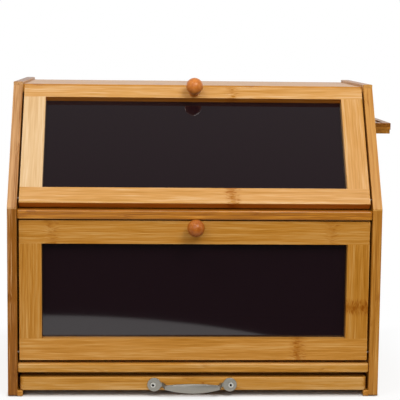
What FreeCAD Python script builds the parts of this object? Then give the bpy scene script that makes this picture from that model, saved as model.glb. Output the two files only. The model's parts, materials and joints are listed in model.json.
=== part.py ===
"""Two-tier bamboo bread box with drop-down doors, a pull-out board and a knife bar.

Box coordinates, in millimetres: X to the right from the middle of the box, Y to the back
from the front edges of the side panels, Z up from the surface that the box stands on.
A door is drawn upright in its own coordinates: Y from its outer face inwards, Z up from
its bottom edge. Each piece is then placed so that the origin lies under the middle of
the whole object.
"""
import FreeCAD, Part
import os
import re

import Sketcher

DIMS = {
    # carcass
    "width": 400, "depth": 255, "height": 335, "side_thick": 10,
    "kink_height": 205, "slope_run": 84, "slope_rise": 126, "toe_round": 3,
    "edge_ease": 0.8, "board_thick": 10, "board_front": 0.5, "board_corner": 3, "board_ease": 1.7,
    "top_drop": 3, "shelf_low": 192.5, "bottom_low": 26,
    # back panel, held in grooves
    "back_thick": 5, "back_inset": 6, "groove_deep": 4, "groove_play": 0.1,
    "vent_radius": 3, "vent_span": 280, "vent_count": 8, "vent_drop": 5.6,
    # bay of the pull-out board
    "rail_thick": 10, "rail_low": 2, "rail_inset": 4,
    "runner_wide": 5.6, "runner_top": 6.2, "runner_low": 0.5, "runner_ease": 1.2,
    "pull_half": 187.6, "pull_low": 6.5, "pull_thick": 14.5, "pull_front": 0.2, "pull_long": 236,
    "pull_corner": 6, "pull_ease": 1.4,
    "juice_inset": 16, "juice_wide": 7, "juice_corner": 12, "juice_deep": 2.2,
    # doors
    "door_half": 188, "door_thick": 12, "stile_wide": 24, "door_gap": 0.4,
    "upper_start": 6.5, "upper_recess": 1, "upper_long": 145.5, "upper_rail": 18.5, "upper_head": 14.6,
    "lower_low": 39, "lower_recess": 3.5, "lower_long": 152, "lower_rail": 24, "lower_head": 25,
    "pane_front": 8.8, "pane_thick": 1.8, "pane_seat": 4, "pane_play": 0.1,
    "pivot_up": 8, "pin_radius": 1.5, "pin_play": 0.05, "pin_seat": 7, "pin_reach": 9,
    "pin_end": 0.5,
    # ball knobs
    "knob_radius": 9.3, "knob_centre": 14, "knob_neck": 4.4, "knob_foot": 5.4,
    "upper_knob_up": 137.5, "lower_knob_up": 146,
    # magnet catches
    "catch_out": 157, "catch_half": 12, "catch_deep": 14, "catch_tall": 13, "catch_up": 6.5,
    "magnet_radius": 4, "magnet_thick": 4, "strike_radius": 5, "strike_thick": 1, "strike_play": 0.1,
    # bow pull
    "pull_off": 2.1, "pull_span": 81.7, "disc_radius": 7.4, "screw_span": 84, "strap_thick": 2.2,
    "strap_up": 13.3, "strap_foot": 34, "strap_bend": 3, "strap_lean": 72, "neck_tall": 4.2,
    "grip_half": 26.8, "grip_reach": 17.5, "grip_sag": 4.1, "grip_bow": 100, "grip_tall": 10.2,
    "grip_tip": 5.4,
    # knife bar
    "knife_out": 20, "knife_front": 74, "knife_long": 166, "knife_low": 281, "knife_thick": 12,
    "knife_seam": 4.4, "knife_step": 0.7, "slot_half": 2.5, "slot_long": 42, "slot_pitch": 55,
    "slot_first": 104, "slot_count": 3,
    # screws
    "screw_head": 4, "screw_neck": 2, "screw_core": 1.7, "screw_sink": 2, "screw_long": 35,
    "screw_play": 0.1, "screw_front": 45, "screw_back": 200, "screw_top": 130,
    "bar_screw_long": 22, "knob_screw_in": 11, "pan_radius": 3.8, "pan_thick": 2.4,
    "handle_screw_in": 14, "handle_head": 2.8, "handle_head_thick": 1.6, "handle_core": 1.5,
}

SLOPE = "atan(slope_run/slope_rise)"
SIDE_IN = "(width/2 - side_thick)"
TOP_LOW = "(height - top_drop - board_thick)"
BOTTOM_TOP = "(bottom_low + board_thick)"
BACK_FRONT = "(depth - back_inset - back_thick)"
UPPER_Y = f"(upper_start*sin({SLOPE}) + upper_recess*cos({SLOPE}))"
UPPER_Z = f"(kink_height + upper_start*cos({SLOPE}) - upper_recess*sin({SLOPE}))"
UPPER_PIVOT = (f"{UPPER_Y} + door_thick/2*cos({SLOPE}) + pivot_up*sin({SLOPE})",
               f"{UPPER_Z} - door_thick/2*sin({SLOPE}) + pivot_up*cos({SLOPE})")
LOWER_PIVOT = ("lower_recess + door_thick/2", "lower_low + pivot_up")
FRAME_X = "-knife_out/2"
FRAME_Y = "-(depth + lower_recess - knob_centre - knob_radius)/2"

# Where each coordinate system lies in the finished object: x, y, z, and the tilt about X.
FRAMES = {
    "box": (FRAME_X, FRAME_Y, "0", "0"),
    "pull": (f"{FRAME_X} - pull_off", FRAME_Y, "0", "0"),
    "upper": (FRAME_X, f"{FRAME_Y} + {UPPER_Y}", UPPER_Z, f"-{SLOPE}"),
    "lower": (FRAME_X, f"{FRAME_Y} + lower_recess", "lower_low", "0"),
}

FUNCTIONS = ("sin", "cos", "atan", "sqrt")
CLOSE = 0.01

doc = FreeCAD.newDocument("bread_box")
sheet = doc.addObject("Spreadsheet::Sheet", "dims")
for row, (alias, size) in enumerate(DIMS.items(), 1):
    sheet.set(f"A{row}", alias)
    sheet.set(f"B{row}", str(size))
    sheet.setAlias(f"B{row}", alias)
doc.recompute()

pieces = []


# ---------------------------------------------------------------- expressions and sketches

def bound(text):
    """The expression with each dimension's name led by the sheet's name."""
    return re.sub(r"[a-z]\w*", lambda word: word[0] if word[0] in FUNCTIONS else f"dims.{word[0]}",
                  str(text))


def number(text):
    """The present value of an expression, in millimetres or degrees."""
    result = sheet.evalExpression(bound(text))
    return float(getattr(result, "Value", result))


def bind(thing, where, text):
    thing.setExpression(where, bound(text))


def place(thing, frame):
    """Give a piece the place of its coordinate system."""
    x, y, z, tilt = FRAMES[frame]
    if tilt != "0":
        thing.Placement = FreeCAD.Placement(FreeCAD.Vector(), FreeCAD.Rotation(FreeCAD.Vector(1, 0, 0), -1))
        bind(thing, "Placement.Rotation.Angle", tilt)
    for axis, text in zip("xyz", (x, y, z)):
        bind(thing, f"Placement.Base.{axis}", text)
    pieces.append(thing)
    return thing


def new_body(name, frame="box"):
    body = doc.addObject("PartDesign::Body", name)
    body.Label = name
    body.AllowCompound = True
    return place(body, frame)


def origin_part(body, role):
    return next(item for item in body.Origin.OriginFeatures if item.Role == role)


def new_sketch(body, role, offset="0", up="0"):
    """A sketch on an origin plane, moved out along its normal and up in its own plane."""
    sketch = body.newObject("Sketcher::SketchObject", f"{body.Name}_sketch")
    sketch.AttachmentSupport = [(origin_part(body, role), "")]
    sketch.MapMode = "FlatFace"
    bind(sketch, "AttachmentOffset.Base.z", offset)
    bind(sketch, "AttachmentOffset.Base.y", up)
    return sketch


def spot(x, y):
    """A point of a sketch, worked out from two expressions."""
    return FreeCAD.Vector(number(x), number(y), 0)


def drive(sketch, kind, elements, text):
    """Add a dimension to a sketch and bind it to an expression."""
    index = sketch.addConstraint(Sketcher.Constraint(kind, *elements, number(text)))
    bind(sketch, f"Constraints[{index}]", text)


def pin_point(sketch, element, vertex, x, y):
    drive(sketch, "DistanceX", (-1, 1, element, vertex), x)
    drive(sketch, "DistanceY", (-1, 1, element, vertex), y)


def outline(sketch, corners):
    """A closed straight-sided profile through the given corners."""
    first = sketch.GeometryCount
    points = [spot(x, y) for x, y in corners]
    for start, end in zip(points, points[1:] + points[:1]):
        sketch.addGeometry(Part.LineSegment(start, end), False)
    for index, (x, y) in enumerate(corners):
        following = first + (index + 1) % len(corners)
        sketch.addConstraint(Sketcher.Constraint("Coincident", first + index, 2, following, 1))
        pin_point(sketch, first + index, 1, x, y)
    return sketch


def rectangle(sketch, x_low, x_high, y_low, y_high):
    return outline(sketch, [(x_low, y_low), (x_high, y_low), (x_high, y_high), (x_low, y_high)])


def circles(sketch, centres, radius):
    for x, y in centres:
        circle = Part.Circle(spot(x, y), FreeCAD.Vector(0, 0, 1), number(radius))
        index = sketch.addGeometry(circle, False)
        pin_point(sketch, index, 3, x, y)
        drive(sketch, "Radius", (index,), radius)
    return sketch


def chain(sketch, curves, smooth=(), closed=False):
    """Lines and arcs end to end, each given by 2 or 3 points; the joints named in smooth are tangent."""
    ends = []
    for points in curves:
        curve = Part.LineSegment(*points) if len(points) == 2 else Part.Arc(*points)
        index = sketch.addGeometry(curve, False)
        start = 1 if sketch.getPoint(index, 1).distanceToPoint(points[0]) < CLOSE else 2
        ends.append((index, start, 3 - start))
    followers = ends[1:] + (ends[:1] if closed else [])
    for joint, ((one, _, last), (other, first, _)) in enumerate(zip(ends, followers)):
        kind = "Tangent" if joint in smooth else "Coincident"
        sketch.addConstraint(Sketcher.Constraint(kind, one, last, other, first))
    return ends


# ---------------------------------------------------------------- solid features

def feature(body, kind, sketch, length, reverse=False, both=False):
    """A pad or pocket of a sketch; a pocket that cuts nothing is an error."""
    before = body.Shape.Volume if body.Tip else 0
    made = body.newObject(f"PartDesign::{kind}", f"{body.Name}_{kind.lower()}")
    made.Profile = sketch
    bind(made, "Length", length)
    made.SideType = "Symmetric" if both else "One side"
    made.Reversed = reverse
    doc.recompute()
    if kind == "Pocket" and made.Shape.Volume > before - CLOSE:
        raise RuntimeError(f"{made.Name} cuts nothing")
    return made


def edges_at(body, *places):
    """Names of the tip's edges that lie wholly at the given coordinates."""
    names = []
    wanted = [{axis: number(text) for axis, text in spot.items()} for spot in places]
    for index, edge in enumerate(body.Tip.Shape.Edges, 1):
        box = edge.BoundBox
        spans = {"x": (box.XMin, box.XMax), "y": (box.YMin, box.YMax), "z": (box.ZMin, box.ZMax)}
        for spot in wanted:
            if all(abs(end - value) < CLOSE for axis, value in spot.items() for end in spans[axis]):
                names.append(f"Edge{index}")
                break
    if not names:
        raise RuntimeError(f"no edge of {body.Name} lies at {places}")
    return names


def ease(body, radius, *places):
    """Round the edges that lie at the given coordinates."""
    names = edges_at(body, *places)
    made = body.newObject("PartDesign::Fillet", f"{body.Name}_round")
    made.Base = (body.Tip if body.Tip != made else made.BaseFeature, names)
    bind(made, "Radius", radius)
    doc.recompute()
    return made


def repeat(body, kind, original, **settings):
    """A pattern or mirror image of a feature, made the tip of its body."""
    made = body.newObject(f"PartDesign::{kind}", f"{body.Name}_{kind.lower()}")
    made.Originals = [original]
    for name, setting in settings.items():
        setattr(made, name, setting)
    body.Tip = made
    doc.recompute()
    return made


def mirror(body, original):
    return repeat(body, "Mirrored", original, MirrorPlane=(origin_part(body, "YZ_Plane"), [""]))


def end_holes(body, centres, radius, deep, half):
    """Blind holes along X in both ends of a bar; half is the bar's half length."""
    sketch = circles(new_sketch(body, "YZ_Plane", half), centres, radius)
    mirror(body, feature(body, "Pocket", sketch, deep))


# ---------------------------------------------------------------- screws

SHELF_MID = "shelf_low + board_thick/2"
BOTTOM_MID = "bottom_low + board_thick/2"
TOP_MID = f"{TOP_LOW} + board_thick/2"
RAIL_SCREW = ("depth - rail_inset - rail_thick/2", "(rail_low + bottom_low)/2")
SHELF_SCREWS = [("screw_front", SHELF_MID), ("screw_back", SHELF_MID)]
BOTTOM_SCREWS = [("screw_front", BOTTOM_MID), ("screw_back", BOTTOM_MID)]
TOP_SCREWS = [("screw_top", TOP_MID), ("screw_back", TOP_MID)]
SIDE_SCREWS = TOP_SCREWS + SHELF_SCREWS + BOTTOM_SCREWS + [RAIL_SCREW]
KNIFE_SCREWS = [(f"slot_first + slot_pitch*{gap}", "knife_low + knife_thick/2") for gap in (0.5, 1.5)]
PULL_SCREWS = [("screw_span/2", "strap_up"), ("-screw_span/2", "strap_up")]


def countersunk_screws(name, centres, face, inwards, long):
    """Screws along X with flat heads flush with a face; inwards is +1 or -1."""
    body = new_body(name)
    for radius, start, end in (("screw_head", "0", "screw_sink"), ("screw_neck", "screw_sink", "side_thick"),
                               ("screw_core", "side_thick", long)):
        sketch = circles(new_sketch(body, "YZ_Plane", f"{face} + {inwards}*({start})"), centres, radius)
        made = feature(body, "Pad", sketch, f"{end} - ({start})", reverse=inwards < 0)
        if radius == "screw_head":
            bind(made, "TaperAngle", "-atan((screw_head - screw_neck)/screw_sink)")
            doc.recompute()


def countersinks(body, centres, face, inwards):
    """Clearance holes with countersinks that take those screws."""
    sketch = circles(new_sketch(body, "YZ_Plane", face), centres, "screw_neck + screw_play")
    hole = body.newObject("PartDesign::Hole", f"{body.Name}_holes")
    hole.Profile = sketch
    doc.recompute()
    hole.Reversed = inwards > 0
    hole.DepthType = "ThroughAll"
    bind(hole, "Diameter", "2*(screw_neck + screw_play)")
    hole.HoleCutType = "Countersink"
    hole.HoleCutCustomValues = True
    hole.HoleCutCountersinkAngle = 90
    bind(hole, "HoleCutDiameter", "2*(screw_head + screw_play)")
    doc.recompute()


# ---------------------------------------------------------------- carcass

def side_panel(name, hand):
    """One side: lower front upright, upper front sloping back; hand is -1 left, +1 right."""
    body = new_body(name)
    outer_face = f"{hand}*width/2"
    sketch = new_sketch(body, "YZ_Plane", outer_face)
    outline(sketch, [("0", "0"), ("depth", "0"), ("depth", "height"), ("slope_run", "height"),
                     ("slope_run", "kink_height + slope_rise"), ("0", "kink_height")])
    feature(body, "Pad", sketch, "side_thick", reverse=hand > 0)
    ease(body, "toe_round", {"y": "0", "z": "0"})
    ease(body, "edge_ease", {"x": outer_face, "y": "depth"}, {"x": outer_face, "z": "height"},
         {"x": f"{hand}*{SIDE_IN}", "z": "height"})
    inner_face = f"{hand}*{SIDE_IN}"
    groove = rectangle(new_sketch(body, "YZ_Plane", inner_face),
                       f"{BACK_FRONT} - groove_play", f"{BACK_FRONT} + back_thick + groove_play",
                       f"{BOTTOM_TOP} - groove_deep", f"{TOP_LOW} + groove_deep")
    feature(body, "Pocket", groove, "groove_deep", reverse=hand > 0)
    pivots = circles(new_sketch(body, "YZ_Plane", inner_face), (UPPER_PIVOT, LOWER_PIVOT), "pin_radius")
    feature(body, "Pocket", pivots, "pin_seat", reverse=hand > 0)
    countersinks(body, SIDE_SCREWS, outer_face, -hand)
    if hand > 0:
        countersinks(body, KNIFE_SCREWS, inner_face, hand)


def behind_door(height):
    """Y of the plane just behind the closed upper door's inner face, at a height."""
    deep = "(upper_recess + door_thick + door_gap)"
    return (f"({height} - kink_height + {deep}*sin({SLOPE}))*slope_run/slope_rise"
            f" + {deep}*cos({SLOPE})")


def back_groove(body, level, upwards):
    """The groove that takes an edge of the back panel; the cut goes up or down from level."""
    sketch = rectangle(new_sketch(body, "XY_Plane", level), f"-{SIDE_IN}", SIDE_IN,
                       f"{BACK_FRONT} - groove_play", f"{BACK_FRONT} + back_thick + groove_play")
    feature(body, "Pocket", sketch, "groove_deep", reverse=upwards)


def top_board():
    """The top, its front edge bevelled to lie parallel with the door."""
    body = new_body("top_board")
    top = f"{TOP_LOW} + board_thick"
    sketch = outline(new_sketch(body, "YZ_Plane"),
                     [(behind_door(TOP_LOW), TOP_LOW), ("depth", TOP_LOW), ("depth", top),
                      (behind_door(f"({top})"), top)])
    feature(body, "Pad", sketch, f"2*{SIDE_IN}", both=True)
    ease(body, "edge_ease", {"y": behind_door(f"({top})"), "z": top}, {"y": "depth", "z": top})
    back_groove(body, TOP_LOW, upwards=True)
    end_holes(body, TOP_SCREWS, "screw_core", "screw_long - side_thick", SIDE_IN)


def round_fronted_board(name, low, back):
    """A board between the sides whose front corners and edges are rounded over."""
    body = new_body(name)
    sketch = rectangle(new_sketch(body, "XY_Plane", low), f"-{SIDE_IN}", SIDE_IN, "board_front", back)
    feature(body, "Pad", sketch, "board_thick")
    ease(body, "board_corner", {"y": "board_front", "x": SIDE_IN}, {"y": "board_front", "x": f"-{SIDE_IN}"})
    ease(body, "board_ease", {"y": "board_front", "z": low}, {"y": "board_front", "z": f"{low} + board_thick"})
    return body


def middle_shelf():
    body = round_fronted_board("middle_shelf", "shelf_low", f"{BACK_FRONT}")
    end_holes(body, SHELF_SCREWS, "screw_core", "screw_long - side_thick", SIDE_IN)


def bottom_panel():
    body = round_fronted_board("bottom_panel", "bottom_low", "depth")
    back_groove(body, BOTTOM_TOP, upwards=False)
    end_holes(body, BOTTOM_SCREWS, "screw_core", "screw_long - side_thick", SIDE_IN)


def back_panel():
    """A thin sheet let into grooves all round, with a row of vent holes at the top of each tier."""
    body = new_body("back_panel")
    half = f"({SIDE_IN} + groove_deep - groove_play)"
    sketch = rectangle(new_sketch(body, "XZ_Plane", f"-{BACK_FRONT}"), f"-{half}", half,
                       f"{BOTTOM_TOP} - groove_deep + groove_play", f"{TOP_LOW} + groove_deep - groove_play")
    feature(body, "Pad", sketch, "back_thick", reverse=True)
    vents = circles(new_sketch(body, "XZ_Plane", f"-{BACK_FRONT}"),
                    [("-vent_span/2", "shelf_low - vent_drop"), ("-vent_span/2", f"{TOP_LOW} - vent_drop")],
                    "vent_radius")
    cut = feature(body, "Pocket", vents, "back_thick", reverse=False)
    row = repeat(body, "LinearPattern", cut, Direction=(origin_part(body, "X_Axis"), [""]))
    bind(row, "Length", "vent_span")
    bind(row, "Occurrences", "vent_count")
    doc.recompute()


def rear_rail():
    """The rail that closes the bay at the back and stops the pull-out board."""
    body = new_body("rear_rail")
    sketch = rectangle(new_sketch(body, "XZ_Plane", "rail_inset - depth"), f"-{SIDE_IN}", SIDE_IN,
                       "rail_low", "bottom_low")
    feature(body, "Pad", sketch, "rail_thick")
    ease(body, "edge_ease", {"y": "depth - rail_inset", "z": "rail_low"},
         {"y": "depth - rail_inset - rail_thick", "z": "rail_low"})
    end_holes(body, [RAIL_SCREW], "screw_core", "screw_long - side_thick", SIDE_IN)


def runner(name, hand):
    """A strip at the foot of a side panel that the pull-out board slides on."""
    body = new_body(name)
    near, far = sorted((f"{hand}*({SIDE_IN} - runner_wide)", f"{hand}*{SIDE_IN}"), key=number)
    sketch = rectangle(new_sketch(body, "XZ_Plane", "-board_front"), near, far, "runner_low", "runner_top")
    feature(body, "Pad", sketch, "depth - rail_inset - rail_thick - board_front", reverse=True)
    ease(body, "runner_ease", {"x": f"{hand}*({SIDE_IN} - runner_wide)", "z": "runner_top"},
         {"y": "board_front", "z": "runner_top"})


def pivot_pin(name, hand, centre):
    """A steel pin, tight in the side panel and free in the door."""
    body = new_body(name)
    start = f"{hand}*({SIDE_IN} + pin_seat)"
    sketch = circles(new_sketch(body, "YZ_Plane", start), [centre], "pin_radius")
    feature(body, "Pad", sketch, f"pin_seat + {SIDE_IN} - door_half + pin_reach", reverse=hand > 0)


# ---------------------------------------------------------------- knife bar

def slot(sketch, x, y_low, y_high, radius):
    """A round-ended slot along the sketch's Y."""
    across, along = spot(radius, "0"), spot("0", radius)
    bottom, top = spot(x, f"{y_low} + {radius}"), spot(x, f"{y_high} - {radius}")
    chain(sketch, [(bottom - across, bottom - along, bottom + across), (bottom + across, top + across),
                   (top + across, top + along, top - across), (top - across, bottom - across)],
          smooth=(0, 1, 2, 3), closed=True)
    sketch.addConstraint(Sketcher.Constraint("Equal", 0, 2))
    pin_point(sketch, 0, 3, x, f"{y_low} + {radius}")
    pin_point(sketch, 2, 3, x, f"{y_high} - {radius}")
    return sketch


def knife_bar():
    """Two bonded strips, the lower one set in a little, with slots through both."""
    body = new_body("knife_bar")
    seam = "knife_low + knife_seam"
    for low, high, step in (("knife_low", seam, "knife_step"), (seam, "knife_low + knife_thick", "0")):
        sketch = rectangle(new_sketch(body, "XY_Plane", low), "width/2", f"width/2 + knife_out - {step}",
                           f"knife_front + {step}", "knife_front + knife_long")
        feature(body, "Pad", sketch, f"{high} - ({low})")
    top = {"z": "knife_low + knife_thick"}
    ease(body, "edge_ease", dict(top, y="knife_front"), dict(top, x="width/2 + knife_out"))
    sketch = slot(new_sketch(body, "XY_Plane", "knife_low + knife_thick"), "width/2 + knife_out/2",
                  "slot_first - slot_long/2", "slot_first + slot_long/2", "slot_half")
    cut = feature(body, "Pocket", sketch, "knife_thick")
    row = repeat(body, "LinearPattern", cut, Direction=(origin_part(body, "Y_Axis"), [""]))
    bind(row, "Length", "(slot_count - 1)*slot_pitch")
    bind(row, "Occurrences", "slot_count")
    doc.recompute()
    holes = circles(new_sketch(body, "YZ_Plane", "width/2"), KNIFE_SCREWS, "screw_core")
    feature(body, "Pocket", holes, "bar_screw_long - side_thick", reverse=True)


# ---------------------------------------------------------------- doors

class Door:
    """One drop-down door: two rails across, two stiles between them and a pane in their grooves."""

    def __init__(self, name, ceiling):
        self.name = name
        self.long, self.foot, self.head = f"{name}_long", f"{name}_rail", f"{name}_head"
        self.knob_up = f"{name}_knob_up"
        self.tilt = FRAMES[name][3].lstrip("-")
        self.ceiling = ceiling
        self.groove = ("(pane_front - pane_play)", "(pane_front + pane_thick + pane_play)")

    def body(self, part):
        return new_body(f"{self.name}_door_{part}", self.name)

    def rail(self, part, low, high, grooved_edge, sign):
        """A rail across the door, its pane groove run along one edge; sign is +1 if that edge is up."""
        body = self.body(part)
        near, far = self.groove
        bed = f"{grooved_edge} - ({sign})*pane_seat"
        plain_edge = low if sign > 0 else high
        sketch = new_sketch(body, "YZ_Plane")
        outline(sketch, [("0", plain_edge), ("door_thick", plain_edge), ("door_thick", grooved_edge),
                         (far, grooved_edge), (far, bed), (near, bed), (near, grooved_edge),
                         ("0", grooved_edge)])
        feature(body, "Pad", sketch, "2*door_half", both=True)
        ease(body, "edge_ease", {"y": "0", "z": plain_edge}, {"y": "door_thick", "z": plain_edge},
             {"y": "0", "x": "door_half"}, {"y": "0", "x": "-door_half"})
        return body

    def bottom_rail(self):
        body = self.rail("bottom_rail", "0", self.foot, self.foot, 1)
        end_holes(body, [("door_thick/2", "pivot_up")], "pin_radius + pin_play", "pin_reach + pin_end",
                  "door_half")

    def top_rail(self):
        body = self.rail("top_rail", f"{self.long} - {self.head}", self.long,
                         f"{self.long} - {self.head}", -1)
        knob_hole = circles(new_sketch(body, "XZ_Plane"), [("0", self.knob_up)], "screw_neck + screw_play")
        feature(body, "Pocket", knob_hole, "door_thick")
        seats = circles(new_sketch(body, "XZ_Plane", "-door_thick"),
                        [("catch_out", self.strike_up()), ("-catch_out", self.strike_up())],
                        "strike_radius + strike_play")
        feature(body, "Pocket", seats, "strike_thick", reverse=True)

    def strike_up(self):
        return f"{self.catch_top('door_thick + door_gap')} - catch_up"

    def catch_top(self, y):
        """Z in the door's coordinates of the board above, at a depth y."""
        return f"({self.ceiling} + ({y})*sin({self.tilt}))/cos({self.tilt})"

    def stile(self, part, hand):
        """An upright with a groove for the pane and a stub tenon at each end."""
        body = self.body(part)
        near, far = self.groove
        inner, outer = f"{hand}*(door_half - stile_wide)", f"{hand}*door_half"
        bed = f"{hand}*(door_half - stile_wide + pane_seat)"
        sketch = new_sketch(body, "XY_Plane", self.foot)
        outline(sketch, [(outer, "0"), (outer, "door_thick"), (inner, "door_thick"), (inner, far),
                         (bed, far), (bed, near), (inner, near), (inner, "0")])
        feature(body, "Pad", sketch, f"{self.long} - {self.head} - {self.foot}")
        ease(body, "edge_ease", {"x": outer, "y": "0"})
        x_low, x_high = sorted((bed, outer), key=number)
        tenon = rectangle(new_sketch(body, "XY_Plane", f"{self.foot} - pane_seat + pane_play"),
                          x_low, x_high, "pane_front", "pane_front + pane_thick")
        feature(body, "Pad", tenon, f"{self.long} - {self.head} - {self.foot} + 2*(pane_seat - pane_play)")

    def pane(self):
        body = self.body("pane")
        half = "(door_half - stile_wide + pane_seat - pane_play)"
        sketch = rectangle(new_sketch(body, "XZ_Plane", "-pane_front"), f"-{half}", half,
                           f"{self.foot} - pane_seat + pane_play",
                           f"{self.long} - {self.head} + pane_seat - pane_play")
        feature(body, "Pad", sketch, "pane_thick", reverse=True)

    def knob(self):
        """A turned ball on a short flared neck, bored from behind for its screw."""
        body = self.body("knob")
        sketch = new_sketch(body, "YZ_Plane", "0", self.knob_up)
        face, foot = spot("0", "0"), spot("0", "knob_foot")
        neck = spot("sqrt(knob_radius^2 - knob_neck^2) - knob_centre", "knob_neck")
        crown, tip = spot("-knob_centre", "knob_radius"), spot("-knob_centre - knob_radius", "0")
        ends = chain(sketch, [(face, foot), (foot, neck), (neck, crown, tip), (tip, face)], closed=True)
        ball, _, ball_tip = ends[2]
        pin_point(sketch, 0, 1, "0", "0")
        pin_point(sketch, 0, 2, "0", "knob_foot")
        pin_point(sketch, ball, 3, "-knob_centre", "0")
        drive(sketch, "Radius", (ball,), "knob_radius")
        drive(sketch, "DistanceY", (-1, 1, 1, 2), "knob_neck")
        drive(sketch, "DistanceY", (-1, 1, ball, ball_tip), "0")
        made = body.newObject("PartDesign::Revolution", f"{body.Name}_turned")
        made.Profile = sketch
        made.ReferenceAxis = (sketch, ["H_Axis"])
        made.Angle = 360
        doc.recompute()
        bore = circles(new_sketch(body, "XZ_Plane"), [("0", self.knob_up)], "screw_core")
        feature(body, "Pocket", bore, "knob_screw_in", reverse=True)

    def knob_screw(self):
        """A pan-headed screw through the rail into the knob."""
        body = self.body("knob_screw")
        centre = [("0", self.knob_up)]
        for radius, start, end in (("screw_core", "-knob_screw_in", "0"), ("screw_neck", "0", "door_thick"),
                                   ("pan_radius", "door_thick", "door_thick + pan_thick")):
            sketch = circles(new_sketch(body, "XZ_Plane", f"-({start})"), centre, radius)
            feature(body, "Pad", sketch, f"{end} - ({start})", reverse=True)
        ease(body, "edge_ease", {"y": "door_thick + pan_thick"})

    def strikes(self):
        """Steel discs let into the rail, one for each magnet."""
        body = self.body("strike_discs")
        sketch = circles(new_sketch(body, "XZ_Plane", "strike_thick - door_thick"),
                         [("catch_out", self.strike_up()), ("-catch_out", self.strike_up())], "strike_radius")
        feature(body, "Pad", sketch, "strike_thick", reverse=True)

    def catch_block(self, part, hand):
        """A block under the board above, its face parallel with the door, with a magnet's seat."""
        body = self.body(part)
        front, back = "(door_thick + door_gap)", "(door_thick + door_gap + catch_deep)"
        near, far = self.catch_top(front), self.catch_top(back)
        sketch = outline(new_sketch(body, "YZ_Plane", f"{hand}*catch_out"),
                         [(front, f"{near} - catch_tall"), (back, f"{far} - catch_tall"), (back, far),
                          (front, near)])
        feature(body, "Pad", sketch, "2*catch_half", both=True)
        seat = circles(new_sketch(body, "XZ_Plane", f"-{front}"), [(f"{hand}*catch_out", self.strike_up())],
                       "magnet_radius")
        feature(body, "Pocket", seat, "magnet_thick", reverse=False)

    def magnets(self):
        body = self.body("magnets")
        sketch = circles(new_sketch(body, "XZ_Plane", "-door_thick - door_gap"),
                         [("catch_out", self.strike_up()), ("-catch_out", self.strike_up())],
                         "magnet_radius")
        feature(body, "Pad", sketch, "magnet_thick", reverse=True)

    def build(self):
        self.bottom_rail()
        self.top_rail()
        self.stile("left_stile", -1)
        self.stile("right_stile", 1)
        self.pane()
        self.knob()
        self.knob_screw()
        self.strikes()
        self.catch_block("left_catch_block", -1)
        self.catch_block("right_catch_block", 1)
        self.magnets()


# ---------------------------------------------------------------- pull-out board and its pull

def pull_out_board():
    """A cutting board with a juice groove, its front corners well rounded."""
    body = new_body("pull_out_board")
    top = "(pull_low + pull_thick)"
    back = "(pull_front + pull_long)"
    sketch = rectangle(new_sketch(body, "XY_Plane", "pull_low"), "-pull_half", "pull_half", "pull_front", back)
    feature(body, "Pad", sketch, "pull_thick")
    ease(body, "pull_corner", {"y": "pull_front", "x": "pull_half"}, {"y": "pull_front", "x": "-pull_half"},
         {"y": back, "x": "pull_half"}, {"y": back, "x": "-pull_half"})
    ease(body, "pull_ease", {"y": "pull_front", "z": top}, {"y": "pull_front", "z": "pull_low"})
    half = "(pull_half - juice_inset)"
    near, far = "(pull_front + juice_inset)", f"({back} - juice_inset)"
    inner = (f"({half} - juice_wide)", f"({near} + juice_wide)", f"({far} - juice_wide)")
    ring = new_sketch(body, "XY_Plane", top)
    rectangle(ring, f"-{half}", half, near, far)
    rectangle(ring, f"-{inner[0]}", *inner)
    feature(body, "Pocket", ring, "juice_deep")
    for radius, across, ends in (("juice_corner", half, (near, far)),
                                 ("juice_corner - juice_wide", inner[0], inner[1:])):
        ease(body, radius, *[{"x": f"{side}{across}", "y": end} for side in ("", "-") for end in ends])
    holes = circles(new_sketch(body, "XZ_Plane", "-pull_front"),
                    [(f"{across} - pull_off", up) for across, up in PULL_SCREWS], "handle_core")
    feature(body, "Pocket", holes, "handle_screw_in")


def strap_path(body, flat):
    """Half of the strap's centre line in plan: along the board, round two bends, into the bow."""
    path = new_sketch(body, "XY_Plane", "strap_up")
    end, foot = spot("-pull_span/2 - disc_radius", flat), spot("-strap_foot", flat)
    bend, lean = number("strap_bend"), number("strap_lean")
    rise = FreeCAD.Rotation(FreeCAD.Vector(0, 0, 1), -lean).multVec(FreeCAD.Vector(1, 0, 0))
    half_rise = FreeCAD.Rotation(FreeCAD.Vector(0, 0, 1), -lean / 2).multVec(FreeCAD.Vector(0, bend, 0))
    full_rise = FreeCAD.Rotation(FreeCAD.Vector(0, 0, 1), -lean).multVec(FreeCAD.Vector(0, bend, 0))
    centre = foot - FreeCAD.Vector(0, bend, 0)
    shoulder, lifted = centre + half_rise, centre + full_rise
    tip = spot("-grip_half", f"{flat} - grip_reach + grip_sag")
    knee = tip - rise * bend
    crown = spot("0", f"{flat} - grip_reach")
    middle = (tip + crown) / 2 - FreeCAD.Vector(0, number("grip_sag") / 4, 0)
    knee_middle = (knee + tip) / 2 - FreeCAD.Vector(bend, bend, 0) / 8
    chain(path, [(end, foot), (foot, shoulder, lifted), (lifted, knee), (knee, knee_middle, tip),
                 (tip, middle, crown)], smooth=(0, 1, 2, 3))
    pin_point(path, 0, 1, "-pull_span/2 - disc_radius", flat)
    pin_point(path, 0, 2, "-strap_foot", flat)
    for arc, radius in ((1, "strap_bend"), (3, "strap_bend"), (4, "grip_bow")):
        drive(path, "Radius", (arc,), radius)
    drive(path, "DistanceX", (-1, 1, 4, 3), "0")
    pin_point(path, 4, 2, "0", f"{flat} - grip_reach")
    drive(path, "DistanceX", (-1, 1, 4, 1), "-grip_half")
    return path


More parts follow.
